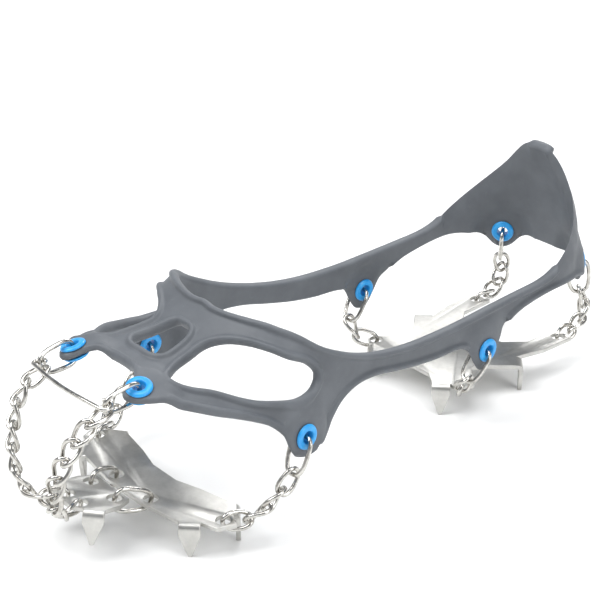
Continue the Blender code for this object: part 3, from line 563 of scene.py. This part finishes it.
# Satin stainless sheet: rolled, then tumbled. Fine rolling lines run across the cleat, drawn
# 0.3 mm apart, and faint scratches and grey stains keep the highlight from being even.
satin, satin_shader = new_material("satin_stainless_sheet", "#c4c3bf", 0.36, 1.0)
place = add_node(satin, "ShaderNodeTexCoord").outputs["Object"]
stretched = add_node(satin, "ShaderNodeMapping", [(place, "Vector")])
stretched.inputs["Scale"].default_value = (40.0, 3200.0, 900.0)
rolled = add_node(satin, "ShaderNodeTexNoise", [(stretched.outputs["Vector"], "Vector")], scale=1.0,
                  detail=4.0)
stain = add_node(satin, "ShaderNodeTexNoise", [(place, "Vector")], scale=160.0, detail=5.0, roughness=0.65)
tone = add_node(satin, "ShaderNodeValToRGB", [(stain.outputs["Fac"], "Fac")])
tone.color_ramp.elements[0].position, tone.color_ramp.elements[1].position = 0.34, 0.68
tone.color_ramp.elements[0].color = (*linear("#bdbcb8"), 1.0)
tone.color_ramp.elements[1].color = (*linear("#d0cfcb"), 1.0)
satin.node_tree.links.new(tone.outputs["Color"], satin_shader.inputs["Base Color"])
haze = add_node(satin, "ShaderNodeMapRange", [(rolled.outputs["Fac"], "Value")], to_min=0.26, to_max=0.5)
satin.node_tree.links.new(haze.outputs["Result"], satin_shader.inputs["Roughness"])
lines = add_node(satin, "ShaderNodeBump", [(rolled.outputs["Fac"], "Height")], strength=0.14, distance=0.0001)
satin.node_tree.links.new(lines.outputs["Normal"], satin_shader.inputs["Normal"])


def plate_shape(outline_points, folds, laid):
    """A sheet in the XY plane with a tapered spike folded down along each listed edge."""
    shape = bmesh.new()
    half = sheet_thickness / 2

    def corner(spot):
        return shape.verts.new(laid @ (Vector(spot) * mm))

    top = [corner((x, y, half)) for x, y in outline_points]
    bottom = [corner((x, y, -half)) for x, y in outline_points]
    shape.faces.new(top)
    shape.faces.new(bottom[::-1])
    for i in range(len(outline_points)):
        j = (i + 1) % len(outline_points)
        if i not in folds:
            shape.faces.new((top[j], top[i], bottom[i], bottom[j]))
            continue
        a, b = Vector((*outline_points[i], 0)), Vector((*outline_points[j], 0))
        middle, edge = (a + b) / 2, (b - a).normalized()
        out = edge.cross(Vector((0, 0, 1)))
        rows = []
        for turn in (15, 30, 45, 60, 75, 90):
            angle = math.radians(turn)
            spot = middle + out * bend_radius * math.sin(angle)
            spot.z -= bend_radius * (1 - math.cos(angle))
            rows.append((spot, angle, (b - a).length / 2))
        below = middle + out * bend_radius
        rows.append((below - Vector((0, 0, bend_radius + 2.0)), math.radians(90), (b - a).length / 2))
        rows.append((below - Vector((0, 0, spike_drop)), math.radians(90), spike_tip / 2))
        last = (top[i], top[j], bottom[j], bottom[i])
        for spot, angle, reach in rows:
            lift = (Vector((0, 0, 1)) * math.cos(angle) + out * math.sin(angle)) * half
            ring = tuple(corner(c) for c in (spot - edge * reach + lift, spot + edge * reach + lift,
                                             spot + edge * reach - lift, spot - edge * reach - lift))
            for k in range(4):
                shape.faces.new((last[(k + 1) % 4], last[k], ring[k], ring[(k + 1) % 4]))
            last = ring
        shape.faces.new(last[::-1])
    return shape


def add_plate(name, half_outline, folds, holes, level, tilt):
    """A whole plate with its holes punched and its edges rounded; returns where it is laid."""
    points = half_outline + [(-x, y) for x, y in reversed(half_outline)]
    centre = Vector((0, sum(y for x, y in points) / len(points), 0)) * mm
    turn = Matrix.Rotation(math.radians(tilt), 4, "X")
    laid = Matrix.Translation(centre + Vector((0, 0, level * mm))) @ turn @ Matrix.Translation(-centre)
    punches = bmesh.new()
    for x, y in holes.values():
        for side in (1, -1):
            spot = laid @ Matrix.Translation(Vector((side * x, y, 0)) * mm)
            bmesh.ops.create_cone(punches, cap_ends=True, segments=40, radius1=chain_hole * mm,
                                  radius2=chain_hole * mm, depth=3 * sheet_thickness * mm, matrix=spot)
    punch_mesh = bpy.data.meshes.new(name + "_punches")
    punches.to_mesh(punch_mesh)
    punches.free()
    punch = bpy.data.objects.new(name + "_punches", punch_mesh)
    bpy.context.collection.objects.link(punch)
    plate = add_piece("steel_" + name, plate_shape(points, folds, laid), satin, name, "sheet_steel", name,
                      sharp=32)
    cut = plate.modifiers.new("punched holes", "BOOLEAN")
    cut.object = punch
    soft = plate.modifiers.new("tumbled edges", "BEVEL")
    soft.width, soft.segments, soft.limit_method = 0.28 * mm, 2, "ANGLE"
    soft.angle_limit = math.radians(40)
    bpy.context.view_layer.update()
    finished = bpy.data.meshes.new_from_object(plate.evaluated_get(bpy.context.evaluated_depsgraph_get()))
    plate.modifiers.clear()
    plate.data = finished
    bpy.data.objects.remove(punch)
    return laid


laid_plates = {
    "front": add_plate("front_plate", front_outline, (1, 7), front_holes, 7.0, -8.0),
    "forefoot": add_plate("forefoot_plate", forefoot_outline, (1, 5, 11, 15), forefoot_holes, 1.0, 0.0),
    "heel": add_plate("heel_plate", heel_outline, (1, 8, 20, 27), heel_holes, 1.0, 0.0),
}


def hole_place(plate, x, y, side):
    """The middle of one of a plate's holes, in millimetres."""
    return (laid_plates[plate] @ (Vector((side * x, y, 0)) * mm)) / mm


# ---------------------------------------------------------------- wire hooks
# Closed loops of polished 2 mm stainless wire, welded on one leg. Eight run from an eyelet to
# the first chain link, wide enough to straddle the lug, and two tie the two front plates.

hook_wire = 1.0
hook_length = 16.5
hook_half_width = 5.7
hook_end_width = 4.4
hook_lean = 0.12

# Polished stainless wire: drawn, bent and barrel-polished. It mirrors the room with a slight
# haze, and fine draw lines and dull spots show where the links rub.
polished, polished_shader = new_material("polished_stainless_wire", "#cfcdc8", 0.16, 1.0)
place = add_node(polished, "ShaderNodeTexCoord").outputs["Object"]
rub = add_node(polished, "ShaderNodeTexNoise", [(place, "Vector")], scale=340.0, detail=4.0, roughness=0.6)
tone = add_node(polished, "ShaderNodeValToRGB", [(rub.outputs["Fac"], "Fac")])
tone.color_ramp.elements[0].position, tone.color_ramp.elements[1].position = 0.36, 0.66
tone.color_ramp.elements[0].color = (*linear("#aeaba5"), 1.0)
tone.color_ramp.elements[1].color = (*linear("#dcdad5"), 1.0)
polished.node_tree.links.new(tone.outputs["Color"], polished_shader.inputs["Base Color"])
haze = add_node(polished, "ShaderNodeMapRange", [(rub.outputs["Fac"], "Value")], to_min=0.08, to_max=0.26)
polished.node_tree.links.new(haze.outputs["Result"], polished_shader.inputs["Roughness"])
drawn = add_node(polished, "ShaderNodeTexNoise", [(place, "Vector")], scale=1500.0, detail=2.0)
grain = add_node(polished, "ShaderNodeBump", [(drawn.outputs["Fac"], "Height")], strength=0.05,
                 distance=0.0001)
polished.node_tree.links.new(grain.outputs["Normal"], polished_shader.inputs["Normal"])


def squared(value, power):
    """Signed power, which squares off an oval."""
    return math.copysign(abs(value) ** (2 / power), value)


def wire_loop(path, radius, matrix, sides=14):
    """A round wire along a closed path around its own middle."""
    path = [Vector(p) for p in path]
    shape = bmesh.new()
    rings = []
    for i, point in enumerate(path):
        tangent = (path[(i + 1) % len(path)] - path[i - 1]).normalized()
        outward = (point - tangent * point.dot(tangent)).normalized()
        across = tangent.cross(outward)
        rings.append([shape.verts.new(matrix @ ((point + outward * radius * math.cos(math.tau * k / sides)
                                                 + across * radius * math.sin(math.tau * k / sides)) * mm))
                      for k in range(sides)])
    for a, b in zip(rings, rings[1:] + rings[:1]):
        for k in range(sides):
            n = (k + 1) % sides
            shape.faces.new((a[k], a[n], b[n], b[k]))
    return shape


def wire_frame(origin, along, normal):
    """Axes for a wire piece: X along it, Z as near to the normal as it can be."""
    x = Vector(along).normalized()
    z = (Vector(normal) - x * Vector(normal).dot(x)).normalized()
    matrix = Matrix((x, z.cross(x), z)).transposed().to_4x4()
    matrix.translation = Vector(origin) * mm
    return matrix


def hook_path():
    """One hook along X, wide at the eyelet end and narrower at the chain end."""
    path = []
    for k in range(56):
        t = math.tau * (k + 0.5) / 56
        x = squared(math.cos(t), 3)
        wide = hook_half_width + (hook_end_width - hook_half_width) * (x + 1) / 2
        path.append((x * hook_length / 2, 0, wide * squared(math.sin(t), 3)))
    return path


hang_ways = {"toe": (0.0, -1.0, -0.08), "side": (0.1, -0.42, -0.9), "arch": (-0.14, -0.55, -0.85),
             "heel": (0.15, 0.15, -1.0)}
hook_ends = {}
for side, word in ((1, "left"), (-1, "right")):
    for which, way in hang_ways.items():
        centre, normal = eyelet_frame(which, side)
        way = Vector((way[0] * side, way[1], way[2])).normalized()
        lean = max(-hook_lean, min(hook_lean, way.dot(normal)))
        way = ((way - normal * way.dot(normal)).normalized() + normal * lean).normalized()
        end = centre + way * hook_length
        hook_ends[which, side] = end, way, normal
        name = f"{which}_connector_{word}"
        add_piece(f"wire_hook_{which}_{word}", wire_loop(hook_path(), hook_wire,
                  wire_frame((centre + end) / 2, way, normal)), polished, name, "polished_wire", name)
    front_hole = hole_place("front", *front_holes["link"], side)
    rear_hole = hole_place("forefoot", *forefoot_holes["link"], side)
    tie = wire_frame((front_hole + rear_hole) / 2, rear_hole - front_hole, (0, 0, 1))
    add_piece(f"plate_tie_{word}", wire_loop(hook_path(), hook_wire, tie), polished, f"plate_link_{word}",
              "polished_wire", f"plate_link_{word}")


# ---------------------------------------------------------------- curb chains
# Twisted links of the same polished wire, 14 mm long, each lying flat against the next. Four
# runs a side join the hooks to the plates, eight links at the toe and two to four elsewhere.

link_wire = 0.95
link_half_length = 6.0
link_half_width = 3.5
hook_play = 0.7           # gap between a hook and the first link
hole_play = 0.3           # the last link reaches this much less far through its hole
first_pitch = 9.0         # a first guess of the distance between links


def link_path(start_turn, end_turn):
    """One link along X: an oval twisted from one end to the other."""
    path = []
    for k in range(48):
        t = math.tau * (k + 0.5) / 48
        x = squared(math.cos(t), 2.4)
        w = link_half_width * squared(math.sin(t), 2.4)
        twist = math.radians(start_turn + (end_turn - start_turn) * (x + 1) / 2)
        path.append((x * link_half_length, w * math.cos(twist), w * math.sin(twist)))
    return path


def chain_joints(route, count):
    """Evenly spaced points along a smooth route, where one link hooks into the next."""
    way_in, way_out = (route[1] - route[0]).normalized(), (route[-1] - route[-2]).normalized()
    pitch = first_pitch
    for _ in range(4):
        over = link_half_length - pitch / 2
        first = route[0] - way_in * (link_wire + hook_wire + hook_play - over)
        last = route[-1] - way_out * (over - hole_play)
        knots = [first] + route[1:-1] + [last]
        ends = [knots[0] * 2 - knots[1]] + knots + [knots[-1] * 2 - knots[-2]]
        spans = len(knots) - 1
        dense = 200 // spans
        curve = [between(*ends[i:i + 4], k / dense) for i in range(spans) for k in range(dense)]
        curve.append(knots[-1])
        travelled = np.concatenate([[0], np.cumsum([(b - a).length for a, b in zip(curve, curve[1:])])])
        pitch = travelled[-1] / count
    wanted = np.arange(count + 1) * pitch
    return [Vector([np.interp(w, travelled, [p[axis] for p in curve]) for axis in range(3)]) for w in wanted]


def hang_chain(name, route, start_normal, end_normal, count, side):
    """Links in a row; neighbouring ends stand square to each other, to the hook and to the hole."""
    joints = chain_joints(route, count)
    ways = [(b - a).normalized() for a, b in zip(joints, joints[1:])]
    normals = [(start_normal - ways[0] * start_normal.dot(ways[0])).normalized()]
    for before, after in zip(ways, ways[1:]):
        normals.append(before.rotation_difference(after) @ normals[-1])
    goal = (end_normal - ways[-1] * end_normal.dot(ways[-1])).normalized()
    left_over = math.atan2(ways[-1].dot(normals[-1].cross(goal)), normals[-1].dot(goal))
    left_over -= math.pi * round(left_over / math.pi)
    extra = math.degrees(left_over) / count
    for k in range(count):
        start_turn = extra * k + side * (0 if k == 0 else -45)
        end_turn = extra * (k + 1) + side * (-90 if k == count - 1 else 45)
        matrix = wire_frame((joints[k] + joints[k + 1]) / 2, ways[k], normals[k])
        link = wire_loop(link_path(start_turn, end_turn), link_wire, matrix, 12)
        add_piece(f"curb_link_{name}_{k + 1}", link, polished, name, "polished_wire", f"{name}_{k + 1}")


hook_offset = 2.5         # the first toe link sits below the toe bar's eye on the hook
for side, word in ((1, "left"), (-1, "right")):
    runs = {
        "toe": ("front", front_holes["chain"], 8,
                [(21.5, -139, 52), (18, -146.2, 40), (14.5, -149.4, 27), (11, -148.2, 16),
                 (7.5, -142.3, 9.3)]),
        "side": ("forefoot", forefoot_holes["chain"], 4, [(53.4, -71, 8), (49.8, -80, 1.5)]),
        "arch": ("heel", heel_holes["arch"], 2, [(34.0, 55.8, 3.4)]),
        "heel": ("heel", heel_holes["heel"], 4, [(27, 149.3, 12.0), (27.2, 143.6, 3.6)]),
    }
    for which, (plate, hole, count, bends) in runs.items():
        end, way, normal = hook_ends[which, side]
        start = end - normal * hook_offset if which == "toe" else end
        route = [start] + [Vector((x * side, y, z)) for x, y, z in bends] + [hole_place(plate, *hole, side)]
        upright = laid_plates[plate].to_3x3() @ Vector((0, 0, 1))
        hang_chain(f"{which}_chain_{word}", route, normal, upright, count, side)


# ---------------------------------------------------------------- toe bar
# A thinner wire that spans the two toe hooks and keeps the toe chains apart. Each end is bent
# round into an eye on the hook, beside the first chain link.

bar_wire = 0.9
bar_eye = 2.6
bar_offset = 1.5

end, way, normal = hook_ends["toe", 1]
eye_centre = end + normal * bar_offset
outward = normal.cross(way)
if outward.x < 0:
    outward = -outward
left_half = []
for k in range(26):
    angle = math.radians(250 - 250 * k / 25)
    left_half.append(eye_centre + (way * math.cos(angle) + outward * math.sin(angle)) * bar_eye)
start = left_half[-1]
bow = [start, Vector((start.x * 0.62, start.y - 1.2, start.z + 0.4)),
       Vector((start.x * 0.3, start.y - 1.9, start.z + 0.6)), Vector((0, start.y - 2.1, start.z + 0.6))]
bow = [left_half[-2]] + bow + [Vector((-bow[2].x, bow[2].y, bow[2].z))]
for i in range(1, 4):
    left_half += [between(*bow[i - 1:i + 3], k / 8) for k in range(1, 9)]
bar_path = left_half + [Vector((-p.x, p.y, p.z)) for p in reversed(left_half[:-1])]

shape = bmesh.new()
ways = [(b - a).normalized() for a, b in zip(bar_path, bar_path[1:])]
tangents = [ways[0]] + [(a + b).normalized() for a, b in zip(ways, ways[1:])] + [ways[-1]]
across = tangents[0].orthogonal().normalized()
bar_rings = []
for point, tangent in zip(bar_path, tangents):
    across = (across - tangent * across.dot(tangent)).normalized()
    up = tangent.cross(across)
    bar_rings.append([shape.verts.new((point + (across * math.cos(math.tau * k / 14)
                                                + up * math.sin(math.tau * k / 14)) * bar_wire) * mm)
                      for k in range(14)])
for a, b in zip(bar_rings, bar_rings[1:]):
    for k in range(14):
        shape.faces.new((a[k], a[(k + 1) % 14], b[(k + 1) % 14], b[k]))
shape.faces.new(bar_rings[0])
shape.faces.new(bar_rings[-1])
add_piece("toe_bar_wire", shape, polished, "toe_bar", "polished_wire", "toe_bar")
